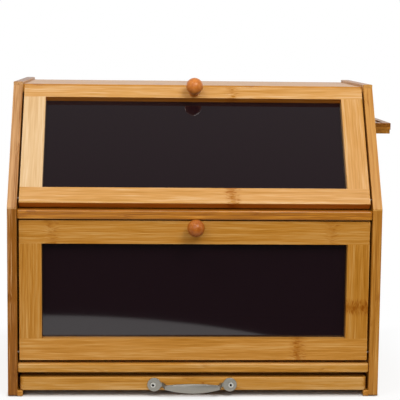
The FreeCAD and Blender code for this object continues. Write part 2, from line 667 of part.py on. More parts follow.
def strap_waste(body):
    """What is cut away round half of the blank: outside the disc, the neck and the grip."""
    sketch = new_sketch(body, "XZ_Plane", "-pull_front", "strap_up")
    side, edge = "-pull_span/2 - 2*disc_radius", "2*disc_radius"
    neck = "-pull_span/2 + sqrt(disc_radius^2 - neck_tall^2/4)"
    swell = "(grip_tall/2 - (grip_tall - grip_tip)/8)"
    curves = [(spot("0", "grip_tall/2"), spot("-grip_half/2", swell), spot("-grip_half", "grip_tip/2")),
              (spot("-grip_half", "grip_tip/2"), spot(neck, "neck_tall/2")),
              (spot(neck, "neck_tall/2"), spot("-pull_span/2 - disc_radius", "0"), spot(neck, "-neck_tall/2")),
              (spot(neck, "-neck_tall/2"), spot("-grip_half", "-grip_tip/2")),
              (spot("-grip_half", "-grip_tip/2"), spot("-grip_half/2", f"-{swell}"),
               spot("0", "-grip_tall/2")),
              (spot("0", "-grip_tall/2"), spot("0", f"-{edge}")),
              (spot("0", f"-{edge}"), spot(side, f"-{edge}")),
              (spot(side, f"-{edge}"), spot(side, edge)),
              (spot(side, edge), spot("0", edge)),
              (spot("0", edge), spot("0", "grip_tall/2"))]
    ends = chain(sketch, curves, closed=True)
    corners = {0: ("0", "grip_tall/2"), 1: ("-grip_half", "grip_tip/2"), 2: (neck, "neck_tall/2"),
               3: (neck, "-neck_tall/2"), 4: ("-grip_half", "-grip_tip/2"), 5: ("0", "-grip_tall/2"),
               6: ("0", f"-{edge}"), 7: (side, f"-{edge}"), 8: (side, edge), 9: ("0", edge)}
    for curve, (x, y) in corners.items():
        index, first, _ = ends[curve]
        pin_point(sketch, index, first, x, y)
    drive(sketch, "Radius", (2,), "disc_radius")
    for arc in (0, 4):
        drive(sketch, "DistanceX", (-1, 1, arc, 3), "0")
    return sketch


def pull_handle():
    """A strap cut to shape from the flat and bent into a bow; one half is drawn and mirrored."""
    body = new_body("pull_handle", "pull")
    flat = "(pull_front - strap_thick/2)"
    path = strap_path(body, flat)
    section = rectangle(new_sketch(body, "YZ_Plane", "-pull_span/2 - disc_radius"),
                        f"{flat} - strap_thick/2", f"{flat} + strap_thick/2",
                        "strap_up - disc_radius", "strap_up + disc_radius")
    strap = body.newObject("PartDesign::AdditivePipe", "pull_handle_strap")
    strap.Profile = section
    strap.Spine = (path, [f"Edge{index + 1}" for index in range(path.GeometryCount)])
    doc.recompute()
    waste = feature(body, "Pocket", strap_waste(body), "2*grip_reach", reverse=True)
    hole = circles(new_sketch(body, "XZ_Plane", "-pull_front"), [("-screw_span/2", "strap_up")],
                   "handle_core + screw_play")
    bore = feature(body, "Pocket", hole, "2*strap_thick", reverse=True)
    whole = body.newObject("PartDesign::Mirrored", "pull_handle_mirrored")
    whole.Originals = [strap, waste, bore]
    whole.MirrorPlane = (origin_part(body, "YZ_Plane"), [""])
    body.Tip = whole
    doc.recompute()


def handle_screws():
    body = new_body("pull_handle_screws", "pull")
    outer = "(pull_front - strap_thick)"
    for radius, start, end in (("handle_core", "pull_front", "pull_front + handle_screw_in"),
                               ("handle_core", outer, "pull_front"),
                               ("handle_head", f"{outer} - handle_head_thick", outer)):
        sketch = circles(new_sketch(body, "XZ_Plane", f"-({start})"), PULL_SCREWS, radius)
        feature(body, "Pad", sketch, f"{end} - ({start})", reverse=True)


# ---------------------------------------------------------------- the whole box

side_panel("left_side_panel", -1)
side_panel("right_side_panel", 1)
top_board()
middle_shelf()
bottom_panel()
back_panel()
rear_rail()
runner("left_runner", -1)
runner("right_runner", 1)
for tier, centre in (("upper", UPPER_PIVOT), ("lower", LOWER_PIVOT)):
    pivot_pin(f"{tier}_left_pivot_pin", -1, centre)
    pivot_pin(f"{tier}_right_pivot_pin", 1, centre)
countersunk_screws("left_side_screws", SIDE_SCREWS, "-width/2", 1, "screw_long")
countersunk_screws("right_side_screws", SIDE_SCREWS, "width/2", -1, "screw_long")
knife_bar()
countersunk_screws("knife_bar_screws", KNIFE_SCREWS, SIDE_IN, 1, "bar_screw_long")
Door("upper", f"({TOP_LOW} - {UPPER_Z})").build()
Door("lower", "(shelf_low - lower_low)").build()
pull_out_board()
pull_handle()
handle_screws()

doc.recompute()
failed = [item.Name for item in doc.Objects if {"Invalid", "Error"} & set(item.State)]
failed += [item.Label for item in pieces if item.Shape.isNull() or not item.Shape.isValid()]
if failed:
    raise RuntimeError(f"these objects failed: {failed}")

os.makedirs("parts", exist_ok=True)
for item in pieces:
    item.Shape.exportStep(os.path.join("parts", f"{item.Label}.step"))
    print(f"{item.Label:28s} solids {len(item.Shape.Solids)}  volume {item.Shape.Volume:10.1f}")
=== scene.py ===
# %% [markdown]
# # Bread box with a pull-out board
# This lesson dresses a finished construction model of a bamboo bread box. Its boards, doors,
# ball knobs, screws and metal pull come ready made at their real size. The lesson adds what
# the eye wants: bamboo grain that runs the right way in every board, smoked acrylic, brushed
# and plated metal, driver recesses in the screws, a floor and studio light.

# %% Load the frame
import json
import math
import bpy
from mathutils import Matrix, Vector

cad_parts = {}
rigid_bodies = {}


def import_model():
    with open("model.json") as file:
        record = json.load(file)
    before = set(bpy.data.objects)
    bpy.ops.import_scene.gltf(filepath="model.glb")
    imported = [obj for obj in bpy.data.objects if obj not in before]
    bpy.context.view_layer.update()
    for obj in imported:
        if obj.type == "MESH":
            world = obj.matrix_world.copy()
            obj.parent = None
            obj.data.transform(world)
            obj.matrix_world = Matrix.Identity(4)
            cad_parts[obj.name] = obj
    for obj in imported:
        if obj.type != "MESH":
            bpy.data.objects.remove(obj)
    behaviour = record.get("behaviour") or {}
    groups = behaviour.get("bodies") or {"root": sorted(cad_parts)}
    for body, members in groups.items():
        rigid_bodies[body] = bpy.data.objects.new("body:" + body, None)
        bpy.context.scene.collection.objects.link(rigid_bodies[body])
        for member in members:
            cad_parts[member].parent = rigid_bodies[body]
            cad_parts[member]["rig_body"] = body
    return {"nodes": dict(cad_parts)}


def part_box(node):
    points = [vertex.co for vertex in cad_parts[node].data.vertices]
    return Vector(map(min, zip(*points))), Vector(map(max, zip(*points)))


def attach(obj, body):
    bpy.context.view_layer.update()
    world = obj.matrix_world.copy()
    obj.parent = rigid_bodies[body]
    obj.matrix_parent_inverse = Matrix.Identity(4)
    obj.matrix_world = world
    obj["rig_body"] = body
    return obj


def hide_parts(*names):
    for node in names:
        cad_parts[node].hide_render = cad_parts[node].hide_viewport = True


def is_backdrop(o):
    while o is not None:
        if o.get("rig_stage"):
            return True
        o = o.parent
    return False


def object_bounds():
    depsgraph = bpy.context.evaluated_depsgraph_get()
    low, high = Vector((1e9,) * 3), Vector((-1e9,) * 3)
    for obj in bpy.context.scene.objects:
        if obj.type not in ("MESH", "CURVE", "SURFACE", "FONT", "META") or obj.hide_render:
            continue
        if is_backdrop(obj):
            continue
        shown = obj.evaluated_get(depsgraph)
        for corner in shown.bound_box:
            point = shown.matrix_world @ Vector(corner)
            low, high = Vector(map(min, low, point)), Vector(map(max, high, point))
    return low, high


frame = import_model()
cad_box = [list(corner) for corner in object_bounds()]
nodes = frame["nodes"]
body_of = {name: node["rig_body"] for name, node in nodes.items()}
print("pieces in the frame:", len(nodes))

# %% [markdown]
# The camera comes first, because every later choice is judged through it. It could be placed
# by hand in the viewport, but numbers can be repeated. It stands a metre and a half in front
# of the box, a little left of it and a little above, and looks slightly down, so the front is
# nearly square on while the top still shows. A long lens keeps the uprights parallel.

# %% Camera
MM = 0.001
CAMERA_AT = Vector((-68.19, -1525.05, 384.43)) * MM
CAMERA_YAW = 0.0444
CAMERA_PITCH = 0.1204
CAMERA_ROLL = 0.011
SENSOR = 36.0
FOCAL = 120.17

camera_data = bpy.data.cameras.new("camera")
camera_data.sensor_width = SENSOR
camera_data.lens = FOCAL
camera_data.clip_end = 100
camera = bpy.data.objects.new("camera", camera_data)
bpy.context.scene.collection.objects.link(camera)
turn = (Matrix.Rotation(-CAMERA_YAW, 4, "Z") @ Matrix.Rotation(math.pi / 2 - CAMERA_PITCH, 4, "X")
        @ Matrix.Rotation(CAMERA_ROLL, 4, "Z"))
camera.matrix_world = Matrix.Translation(CAMERA_AT) @ turn
bpy.context.scene.camera = camera
print("camera at", [round(c, 3) for c in CAMERA_AT], "lens", FOCAL, "mm")

# %% [markdown]
# Colours are easiest to choose as the hex codes of a paint program, which are sRGB values.
# Shaders count light linearly, so one function turns the code into linear numbers.

# %% Colours
def colour(code):
    """An sRGB hex colour as a linear RGBA."""
    channels = [int(code[start:start + 2], 16) / 255 for start in (1, 3, 5)]
    return (*[c / 12.92 if c <= 0.04045 else ((c + 0.055) / 1.055) ** 2.4 for c in channels], 1.0)


print("a honey brown in linear light:", [round(c, 3) for c in colour("#C5862C")[:3]])

# %% [markdown]
# A material is a tree of nodes, and in the editor every node is dropped, set and wired by
# hand. Here one small function does the three at once. Its inputs are a list in the order of
# the node's sockets, or a dictionary by their names or numbers. An input that is itself a
# node is wired from that node's first output.

# %% Node helpers
def add(tree, kind, inputs=(), **settings):
    """Add a shader node with its settings; each input is a value, a socket or a node."""
    node = tree.nodes.new(f"ShaderNode{kind}")
    for name, setting in settings.items():
        setattr(node, name, setting)
    for socket, value in inputs.items() if isinstance(inputs, dict) else enumerate(inputs):
        if isinstance(value, bpy.types.Node):
            value = value.outputs[0]
        if isinstance(value, bpy.types.NodeSocket):
            tree.links.new(value, node.inputs[socket])
        else:
            node.inputs[socket].default_value = value
    return node


def new_material(name):
    """A new material and its node tree, emptied."""
    material = bpy.data.materials.new(name)
    material.use_nodes = True
    material.node_tree.nodes.clear()
    return material, material.node_tree


def dress(name, material):
    """Give a piece of the frame its material in place of what it came with."""
    nodes[name].data.materials.clear()
    nodes[name].data.materials.append(material)


print("helpers ready:", add.__name__, new_material.__name__, dress.__name__)

# %% [markdown]
# Laminated bamboo is made of flat strips a finger wide, planed from the wall of the cane and
# glued side by side and in layers. Wood like this could be a picture wrapped round each
# board, but a picture repeats and blurs close up, so it is computed from the place on the
# board. The pattern is drawn in a board's own axes: u along the grain, v across the strips
# and w through the layers, all in millimetres, so every size below is a real one.

# %% Bamboo: the axes of a board
RIGHT, BACK, UP = Vector((1, 0, 0)), Vector((0, 1, 0)), Vector((0, 0, 1))
SLOPE_BACK, SLOPE_UP = 84.0, 126.0
SLOPE = math.atan(SLOPE_BACK / SLOPE_UP)
UP_DOOR = Vector((0, math.sin(SLOPE), math.cos(SLOPE)))


def board_axes(tree, along, across, corner):
    """Object coordinates turned into a board's own millimetres."""
    axes = Matrix((along, across, along.cross(across))).transposed()
    place = add(tree, "TexCoord")
    point = add(tree, "Mapping", {"Vector": place.outputs["Object"], "Location": corner,
                                  "Rotation": axes.to_euler(), "Scale": (MM, MM, MM)},
                vector_type="TEXTURE")
    return place, point


print("the upper door leans back by", round(math.degrees(SLOPE), 1), "degrees")

# %% [markdown]
# Each strip keeps its own tone. Strips and layers are counted by dividing v and w by the
# size of a strip. A white noise that reads only these two whole numbers and the board's own
# seed gives each strip its chance values. Between two strips is a hair of darker glue.

# %% Bamboo: strips and glue lines
GLUE_LINE = 0.35


def strips(tree, point, wide, thick, seed):
    """Count strips and layers, and draw chance values for each strip."""
    _, v, w = add(tree, "SeparateXYZ", [point]).outputs
    counts = [add(tree, "Math", [way, size], operation="DIVIDE")
              for way, size in ((v, wide), (w, thick))]
    numbers = [add(tree, "Math", [count], operation="FLOOR") for count in counts]
    strip = add(tree, "CombineXYZ", [*numbers, seed])
    return counts, add(tree, "TexWhiteNoise", {"Vector": strip}, noise_dimensions="3D")


def glue_lines(tree, counts, sizes):
    """1 on the joint between two strips or two layers, 0 a third of a millimetre away."""
    lines = []
    for count, size in zip(counts, sizes):
        fold = add(tree, "Math", [count, 0.5], operation="PINGPONG")
        lines.append(add(tree, "MapRange", {"Value": fold, "From Min": GLUE_LINE / size,
                                            "From Max": 0.0}))
    return add(tree, "Math", lines, operation="MAXIMUM")


print("glue lines are drawn", GLUE_LINE, "mm wide on each side of a joint")

# %% [markdown]
# Where the cane had a joint, a node crosses the strip. It shows as a darker cloud a finger
# wide with a ragged edge and a few short dashes, and the fibres swerve as they pass it. The
# distance along the grain to the nearest node drives all of this. The first node's place is
# given for each board. Strips that lie side by side come from different canes, so each shifts
# its nodes by a chance amount.

# %% Bamboo: the nodes of the cane
CLOUD = 11.0
BAND = 3.0
RAGGED = 5.88
JOG = 12.0


def cane_nodes(tree, point, chance, first, pitch, scatter):
    """How near a point is to a node: a soft cloud and the narrow band at its middle."""
    u, v, w = add(tree, "SeparateXYZ", [point]).outputs
    shift = add(tree, "Math", [chance.outputs["Value"], pitch * scatter, -first],
                operation="MULTIPLY_ADD")
    shifted = add(tree, "Math", [u, shift], operation="ADD")
    across = add(tree, "CombineXYZ", {1: v, 2: w})
    ragged = add(tree, "TexNoise", {"Vector": across, "Scale": 1 / RAGGED, "Detail": 3.0})
    jog = add(tree, "Math", [ragged, JOG, -JOG / 2], operation="MULTIPLY_ADD")
    moved = add(tree, "Math", [shifted, jog], operation="ADD")
    turns = add(tree, "Math", [moved, 1 / pitch], operation="MULTIPLY")
    near = add(tree, "Math", [turns, 0.5], operation="PINGPONG")
    distance = add(tree, "Math", [near, pitch], operation="MULTIPLY")
    return [add(tree, "MapRange", {"Value": distance, "From Min": reach, "From Max": 0.0},
                interpolation_type="SMOOTHSTEP") for reach in (CLOUD, BAND)]


print("a node's cloud is", 2 * CLOUD, "mm long and its band", 2 * BAND, "mm")

# %% [markdown]
# The fibres are noise stretched along the grain, in three sizes. The broad one makes the
# streaks that are seen from afar. The fine ones are drawn coarser than the real fibres, which
# are a quarter of a millimetre thick and would vanish in a render. Each strip starts its
# noise somewhere else, so streaks stop at a glue line, and near a node they are pushed about.

# %% Bamboo: the fibres
STREAKS = {"broad": (170.0, 6.0, 2.0), "middle": (80.0, 1.8, 2.0), "fine": (34.0, 0.75, 1.0)}
DASH = (6.0, 1.2, 1.0)
START = (900.0, 90.0, 90.0)
SWERVE = (33.3, 8.33, 8.33)
PUSH, PUSH_AT_NODE = 1.5, 6.0


def swerving(tree, point, cloud):
    """Push the pattern sideways a little everywhere, and by millimetres near a node."""
    stretch = add(tree, "VectorMath", [point, [1 / size for size in SWERVE]],
                  operation="MULTIPLY")
    swerve = add(tree, "TexNoise", {"Vector": stretch, "Scale": 1.0, "Detail": 1.0})
    centred = add(tree, "VectorMath", [swerve.outputs["Color"], (0.5, 0.5, 0.5)],
                  operation="SUBTRACT")
    push = add(tree, "Math", [cloud, PUSH_AT_NODE, PUSH], operation="MULTIPLY_ADD")
    pushed = add(tree, "VectorMath", {0: centred, "Scale": push}, operation="SCALE")
    return add(tree, "VectorMath", [point, pushed], operation="ADD")


def fibres(tree, point, chance, cloud):
    """Noise values of each size of streak, and of the short dashes at the nodes."""
    own = add(tree, "VectorMath", [chance.outputs["Color"], START], operation="MULTIPLY")
    grain = swerving(tree, add(tree, "VectorMath", [point, own], operation="ADD"), cloud)
    made = {}
    for name, (long, thick, detail) in {**STREAKS, "dash": DASH}.items():
        stretch = add(tree, "VectorMath", [grain, (1 / long, 1 / thick, 1 / thick)],
                      operation="MULTIPLY")
        made[name] = add(tree, "TexNoise", {"Vector": stretch, "Scale": 1.0, "Detail": detail})
    return made


print("streaks in mm, long and thick:", {name: sizes[:2] for name, sizes in STREAKS.items()})

# %% [markdown]
# A face that looks along the grain is end grain: it soaks up more lacquer, so it is darker,
# with the cut fibre bundles as dots about a millimetre apart. It needs no second material,
# because the face's own normal tells how squarely it looks along the grain.

# %% Bamboo: end grain
END_DARKER, DOT_DARKER = 0.4, 0.3
BUNDLE = 1.11
END_FACING = (0.7, 0.95)
DOT_EDGE, DOT_HEART = 0.5, 0.1


def end_grain(tree, place, point, along):
    """How much darker a point is for being cut across the grain."""
    facing = add(tree, "VectorMath", [place.outputs["Normal"], along], operation="DOT_PRODUCT")
    square = add(tree, "Math", [facing.outputs["Value"]], operation="ABSOLUTE")
    end = add(tree, "MapRange", {"Value": square, "From Min": END_FACING[0],
                                 "From Max": END_FACING[1]})
    bundles = add(tree, "TexVoronoi", {"Vector": point, "Scale": 1 / BUNDLE})
    dots = add(tree, "MapRange", {"Value": bundles, "From Min": DOT_EDGE, "From Max": DOT_HEART})
    dotted = add(tree, "Math", [dots, DOT_DARKER, END_DARKER], operation="MULTIPLY_ADD")
    return add(tree, "Math", [end, dotted], operation="MULTIPLY")


print("end grain is darker by", END_DARKER, "and its dots by", DOT_DARKER, "more")

# %% [markdown]
# The front edge of a side panel goes straight up and then slopes back with the door. It is
# veneered with strips that follow it round the bend. The same pattern does for it: above the
# bend, v is sheared back by as much as the edge leans. A face that looks less than half
# sideways counts as an edge, and as the front one if it looks forward at all. The edges of the
# panels also have tones of their own, and the sloping part of the front edge is made lighter:
# this is painted light, for the sheen that the sloping edge catches from above.

# %% Bamboo: the edges of the side panels
EDGE_BELOW = 0.5
AHEAD_ABOVE = 0.1


def panel_edges(tree, place, point, bend):
    """A side panel's point sheared along the slope; whether it is on an edge; on the slope."""
    u, v, w = add(tree, "SeparateXYZ", [point]).outputs
    normal = place.outputs["Normal"]
    sideways = add(tree, "VectorMath", [normal, RIGHT], operation="DOT_PRODUCT").outputs["Value"]
    forward = add(tree, "VectorMath", [normal, -BACK], operation="DOT_PRODUCT").outputs["Value"]
    side = add(tree, "Math", [sideways], operation="ABSOLUTE")
    edge = add(tree, "Math", [side, EDGE_BELOW], operation="LESS_THAN")
    ahead = add(tree, "Math", [forward, AHEAD_ABOVE], operation="GREATER_THAN")
    front = add(tree, "Math", [edge, ahead], operation="MULTIPLY")
    over = add(tree, "Math", [u, bend], operation="SUBTRACT")
    above = add(tree, "Math", [over, 0.0], operation="MAXIMUM")
    lean = add(tree, "Math", [above, math.tan(SLOPE)], operation="MULTIPLY")
    shift = add(tree, "Math", [lean, front], operation="MULTIPLY")
    sheared = add(tree, "Math", [v, shift], operation="SUBTRACT")
    sloping = add(tree, "Math", [above, 0.0], operation="GREATER_THAN")
    return (add(tree, "CombineXYZ", [u, sheared, w]), edge,
            add(tree, "Math", [front, sloping], operation="MULTIPLY"))


print("the edges shear by", round(math.tan(SLOPE), 3), "mm for each mm above the bend")

# %% [markdown]
# A tone from 0 to 1 runs from a palest to a darkest colour. The strip's chance value sets its
# middle, and the streaks move it up and down. Three colours are enough, because lacquered
# bamboo goes from straw through honey to amber and never turns grey.

# %% Bamboo: the tone
SHARES = {"broad": 0.65, "middle": 0.7, "fine": 0.8}
STOPS = (0.15, 0.5, 0.88)


def tone_of(tree, chance, streak, vary):
    """The tone of a point, from its strip's own tone and its streaks."""
    tone = add(tree, "Math", [chance.outputs["Value"], vary, 0.5 - vary / 2],
               operation="MULTIPLY_ADD")
    for size, share in SHARES.items():
        centred = add(tree, "Math", [streak[size], 0.5], operation="SUBTRACT")
        tone = add(tree, "Math", [centred, share, tone], operation="MULTIPLY_ADD")
    return tone


def tone_ramp(tree, tone, codes):
    """The colour of a tone, from the palest of three colours to the darkest."""
    ramp = add(tree, "ValToRGB", [tone])
    ramp.color_ramp.elements.new(STOPS[1])
    for element, code, stop in zip(ramp.color_ramp.elements, codes, STOPS):
        element.color, element.position = colour(code), stop
    return ramp


print("shares of the streaks in the tone:", SHARES)

# %% [markdown]
# Nodes, glue and end grain all darken the wood. They add up to one mark from 0 to 1. The mark
# multiplies the colour by an amber without any blue, as a clear brown stain does, so a dark
# place stays warm. A grey or brown mixed in would make it look dirty.

# %% Bamboo: the marks
NODE_TINT = "#C4A000"
CLOUD_SHARE, BAND_SHARE, DASH_SHARE = 0.24, 0.14, 1.1
DASH_FROM, DASH_TO = 0.52, 0.66


def marks_of(tree, cloud, band, dash_noise, strength):
    """The darkness of the nodes: cloud, band and dashes added up."""
    dash = add(tree, "MapRange", {"Value": dash_noise, "From Min": DASH_FROM, "From Max": DASH_TO})
    dashes = add(tree, "Math", [dash, cloud], operation="MULTIPLY")
    mark = 0.0
    for part, share in ((cloud, CLOUD_SHARE), (band, BAND_SHARE), (dashes, DASH_SHARE)):
        mark = add(tree, "Math", [part, share, mark], operation="MULTIPLY_ADD")
    return add(tree, "Math", [mark, strength], operation="MULTIPLY")


print("a node multiplies the colour by", [round(c, 2) for c in colour(NODE_TINT)[:3]])

# %% [markdown]
# Now the parts come together. The lacquer is satin: its roughness follows the fibres a
# little, and the fibres stand up by a few hundredths of a millimetre while the glue lines
# sink in. Lacquer on wood mirrors less than bare plastic, so its specular level is halved on
# most boards. The lower edges of a door's rails look a deeper amber than their faces. This is
# painted bounce light: on the door frames, faces that look down are multiplied by a warm
# tint, which stands for the light that the wood below throws back onto them.

# %% Bamboo: the material
SATIN = (0.26, 0.42)
FIBRE_RELIEF, FIBRE_BUMP = 0.1, 0.4
LACQUER_IOR = 1.5
# painted bounce light: the warm tint of faces that look down, and how far down they must look
PAINTED_BOUNCE_TINT = "#FFD47B"
PAINTED_BOUNCE_FACING = (0.3, 0.7)


def bamboo(name, look, along, across, corner, wide, thick, seed):
    """Satin-lacquered laminated bamboo; the look names its tones and where its nodes are."""
    material, tree = new_material(name)
    place, point = board_axes(tree, along, across, corner)
    if look["edge_tones"]:
        point, edge, slope = panel_edges(tree, place, point, look["bend"])
    counts, chance = strips(tree, point, wide, thick, seed)
    glue = glue_lines(tree, counts, (wide, thick))
    cloud, band = cane_nodes(tree, point, chance, look["first"], look["pitch"], look["scatter"])
    streak = fibres(tree, point, chance, cloud)

    tone = tone_of(tree, chance, streak, look["vary"])
    tint = tone_ramp(tree, tone, look["tones"])
    if look["edge_tones"]:
        # painted light: the sloping front edge is shifted towards the palest tone, for its sheen
        edge_tone = add(tree, "Math", [slope, -look["paler"], tone], operation="MULTIPLY_ADD")
        edge_tint = tone_ramp(tree, edge_tone, look["edge_tones"])
        tint = add(tree, "Mix", {0: edge, 6: tint, 7: edge_tint}, data_type="RGBA").outputs[2]
    mark = marks_of(tree, cloud, band, streak["dash"], look["marks"])
    mark = add(tree, "Math", [glue, look["joints"], mark], operation="MULTIPLY_ADD")
    ends = end_grain(tree, place, point, along)
    mark = add(tree, "Math", [ends, look["ends"], mark], operation="MULTIPLY_ADD", use_clamp=True)
    marked = add(tree, "Mix", {0: mark, 6: tint, 7: colour(NODE_TINT)}, data_type="RGBA",
                 blend_type="MULTIPLY")
    # painted bounce light: faces that look down take the warm tint, as strongly as the look says
    down = add(tree, "VectorMath", [place.outputs["Normal"], -UP], operation="DOT_PRODUCT")
    under = add(tree, "MapRange", {"Value": down.outputs["Value"], "From Min": PAINTED_BOUNCE_FACING[0],
                                   "From Max": PAINTED_BOUNCE_FACING[1], "To Max": look["under"]})
    wood = add(tree, "Mix", {0: under, 6: marked.outputs[2], 7: colour(PAINTED_BOUNCE_TINT)},
               data_type="RGBA", blend_type="MULTIPLY")

    satin = add(tree, "MapRange", {"Value": streak["middle"], "To Min": SATIN[0],
                                   "To Max": SATIN[1]})
    relief = add(tree, "Math", [streak["fine"], glue], operation="SUBTRACT")
    bump = add(tree, "Bump", {"Height": relief, "Strength": FIBRE_BUMP,
                              "Distance": FIBRE_RELIEF * MM})
    lacquered = add(tree, "BsdfPrincipled", {"Base Color": wood.outputs[2], "Roughness": satin,
                                             "Normal": bump, "IOR": LACQUER_IOR,
                                             "Specular IOR Level": look["gloss"]})
    add(tree, "OutputMaterial", {"Surface": lacquered})
    return material


print("the lacquer's roughness runs from", SATIN[0], "to", SATIN[1])

# %% [markdown]
# Each board gets its grain from a few numbers. The strips are counted so that a whole number
# fills a board's width, and the corner where the counting starts comes from the board's own
# mesh. The pattern is a hundredth larger than the board, so no face lies exactly on the
# boundary between two strips, where it would flicker from one to the other.

# %% Bamboo: how a board is dressed
OVERSIZE = 1.01
HONEY = ("#D6A65E", "#C2862E", "#A4690F")
PLAIN_LOOK = {"tones": HONEY, "first": 0.0, "pitch": 240.0, "scatter": 1.0, "vary": 0.3,
              "marks": 0.8, "joints": 0.3, "ends": 1.0, "under": 0.0, "gloss": 0.25,
              "edge_tones": None}


def span(name, axis):
    """The lowest and highest place of a piece along an axis."""
    places = [vertex.co.dot(axis) for vertex in nodes[name].data.vertices]
    return min(places), max(places)


def board(name, along, across, wide_count, thick_count, seam=None, **look):
    """Dress a board; the counts are of strips across its width and of layers in its thickness.

    A seam, in millimetres above the bottom, is given where the two layers differ in thickness.
    """
    axes = (along, across, along.cross(across))
    spans = [span(name, axis) for axis in axes]
    starts = [(low + high - (high - low) * OVERSIZE) / 2 for low, high in spans]
    wide, thick = [(high - low) * OVERSIZE / count / MM
                   for (low, high), count in zip(spans[1:], (wide_count, thick_count))]
    if seam is not None:
        low, high = spans[2]
        thick = (high - low) / MM - seam
        starts[2] = low + seam * MM - thick * MM
    corner = sum((axis * start for axis, start in zip(axes, starts)), Vector())
    seed = float(sorted(nodes).index(name))
    material = bamboo(f"bamboo_{name}", {**PLAIN_LOOK, **look}, along, across, corner,
                      wide, thick, seed)
    dress(name, material)


print("the back panel spans", [round(end, 3) for end in span("back_panel", UP)], "upwards")

# %% [markdown]
# The sides stand with their grain upright and the shelves lie with it from side to side,
# because a board is strongest along its grain. The boards of one box never match quite in
# tone, so the shelf, the two lowest boards, the side panels' edges and the knife bar have
# tones of their own. The top board and the shelf are given a glossier lacquer, which draws a
# line of light along the shelf's front edge.

# %% Bamboo: the carcass and the pull-out board
BASE = ("#CD9F5F", "#BA8130", "#9D640D")
SHELF = ("#DC9E46", "#B27018", "#8A4E04")
LEFT_EDGES = ("#CA9A66", "#905612", "#744408")
RIGHT_EDGES = ("#C69048", "#AE7226", "#885412")
BAR = ("#E0AC60", "#B47A2E", "#8A5814")
BEND = 205.0

# painted light: the sloping front edges of the side panels are made lighter
board("left_side_panel", UP, BACK, 12, 2, edge_tones=LEFT_EDGES, bend=BEND, paler=0.35,
      marks=0.3)
board("right_side_panel", UP, BACK, 12, 2, edge_tones=RIGHT_EDGES, bend=BEND, paler=0.33,
      marks=0.3)
board("top_board", RIGHT, BACK, 8, 2, gloss=0.4)
board("middle_shelf", RIGHT, BACK, 11, 2, tones=SHELF, marks=0.3, gloss=0.5)
board("bottom_panel", RIGHT, BACK, 12, 2, tones=BASE, marks=0.3)
board("back_panel", RIGHT, UP, 14, 1)
board("rear_rail", RIGHT, UP, 1, 2)
board("left_runner", BACK, RIGHT, 1, 1)
board("right_runner", BACK, RIGHT, 1, 1)
board("knife_bar", BACK, RIGHT, 1, 2, seam=4.4, vary=0.8, joints=0.7, tones=BAR, ends=0.25)
board("pull_out_board", RIGHT, BACK, 11, 3, tones=BASE, first=251.0, pitch=420.0, scatter=0.35,
      marks=0.5)
for name in nodes:
    if name.endswith("catch_block"):
        board(name, RIGHT, BACK, 1, 2)
print("boards dressed:", sum(kind.name.startswith("bamboo") for kind in bpy.data.materials))

# %% [markdown]
# The door frames are rails and stiles cut from single strips, and their grain follows each
# of them, which shows how the frame is joined. Most have one node or none. The table says
# where along the grain its middle is, how far off the next would be, and how strong it is.
# The upper door is the palest part of the box. Its tones are partly its own and partly
# painted light, for the extra light and sheen that its sloping face catches from above.

# %% Bamboo: the door frames
# partly painted light: the upper door's tones are pale for the light its slope catches
UPPER_TONES_AND_LIGHT = ("#E2C094", "#D29D59", "#B8802C")
LOWER = ("#D2A35F", "#BE832F", "#A1670A")
# painted sheen: the upper door's left stile is whiter, for the veil of light it mirrors; the lower
# door's bottom rail has tones of its own
OWN_TONES_AND_SHEEN = {"upper_door_left_stile": ("#E8CEAA", "#DDBA8C", "#CBA06A"),
             "lower_door_bottom_rail": ("#DCAE6A", "#C88D3C", "#AC7216")}
# the door frames carry the painted bounce light in full
ONE_STRIP = {"scatter": 0.0, "vary": 0.1, "under": 1.0}
DOOR_NODES = {"upper_door_bottom_rail": (229.5, 400.0, 1.2),
              "upper_door_top_rail": (232.0, 400.0, 0.6),
              "upper_door_left_stile": (-80.0, 400.0, 0.3),
              "upper_door_right_stile": (-80.0, 400.0, 0.3),
              "lower_door_bottom_rail": (302.0, 400.0, 1.1),
              "lower_door_top_rail": (37.0, 300.0, 0.4),
              "lower_door_left_stile": (-80.0, 400.0, 0.3),
              "lower_door_right_stile": (38.8, 400.0, 1.5)}

for name, (first, pitch, marks) in DOOR_NODES.items():
    up, tones = (UP_DOOR, UPPER_TONES_AND_LIGHT) if name.startswith("upper") else (UP, LOWER)
    along, across = (RIGHT, up) if name.endswith("rail") else (up, RIGHT)
    board(name, along, across, 1, 2, tones=OWN_TONES_AND_SHEEN.get(name, tones), first=first, pitch=pitch,
          marks=marks, **ONE_STRIP)
print("rails and stiles dressed:", len(DOOR_NODES))

# %% [markdown]
# No edge of a real board is a perfect corner. Sandpaper takes a third of a millimetre or a
# little more off it, and a metal pull is tumbled smooth. This narrow round catches a line of
# light and lets two pieces that meet show a fine groove. A Weld modifier first joins the
# loose triangles of the frame, then a Bevel modifier rounds what is still sharper than forty
# degrees. Neither changes the frame's own points.

# %% Eased edges
EASED = {**{name: 0.35 for name in DOOR_NODES}, "middle_shelf": 0.8, "bottom_panel": 0.5,
         "pull_handle": 0.4}
WELD_WITHIN = 0.005
SHARPER_THAN = math.radians(40)

for name, wide in EASED.items():
    weld = nodes[name].modifiers.new("weld", "WELD")
    weld.merge_threshold = WELD_WITHIN * MM
    bevel = nodes[name].modifiers.new("eased edges", "BEVEL")
    bevel.width = wide * MM
    bevel.segments = 2
    bevel.limit_method = "ANGLE"
    bevel.angle_limit = SHARPER_THAN
    bevel.harden_normals = True
print("pieces with eased edges:", len(EASED))

# %% [markdown]
# The ball knobs are turned on a lathe from a reddish wood and lacquered. The grain of the
# dowel runs through the ball towards the front, so its streaks are stretched along that way
# and are seen end on from the front, as soft spots. Noise seldom leaves the span from 0.3
# to 0.7, so the two tones are set at its ends. The ball mirrors the lamps as small
# highlights, which is what tells the eye that it is round.

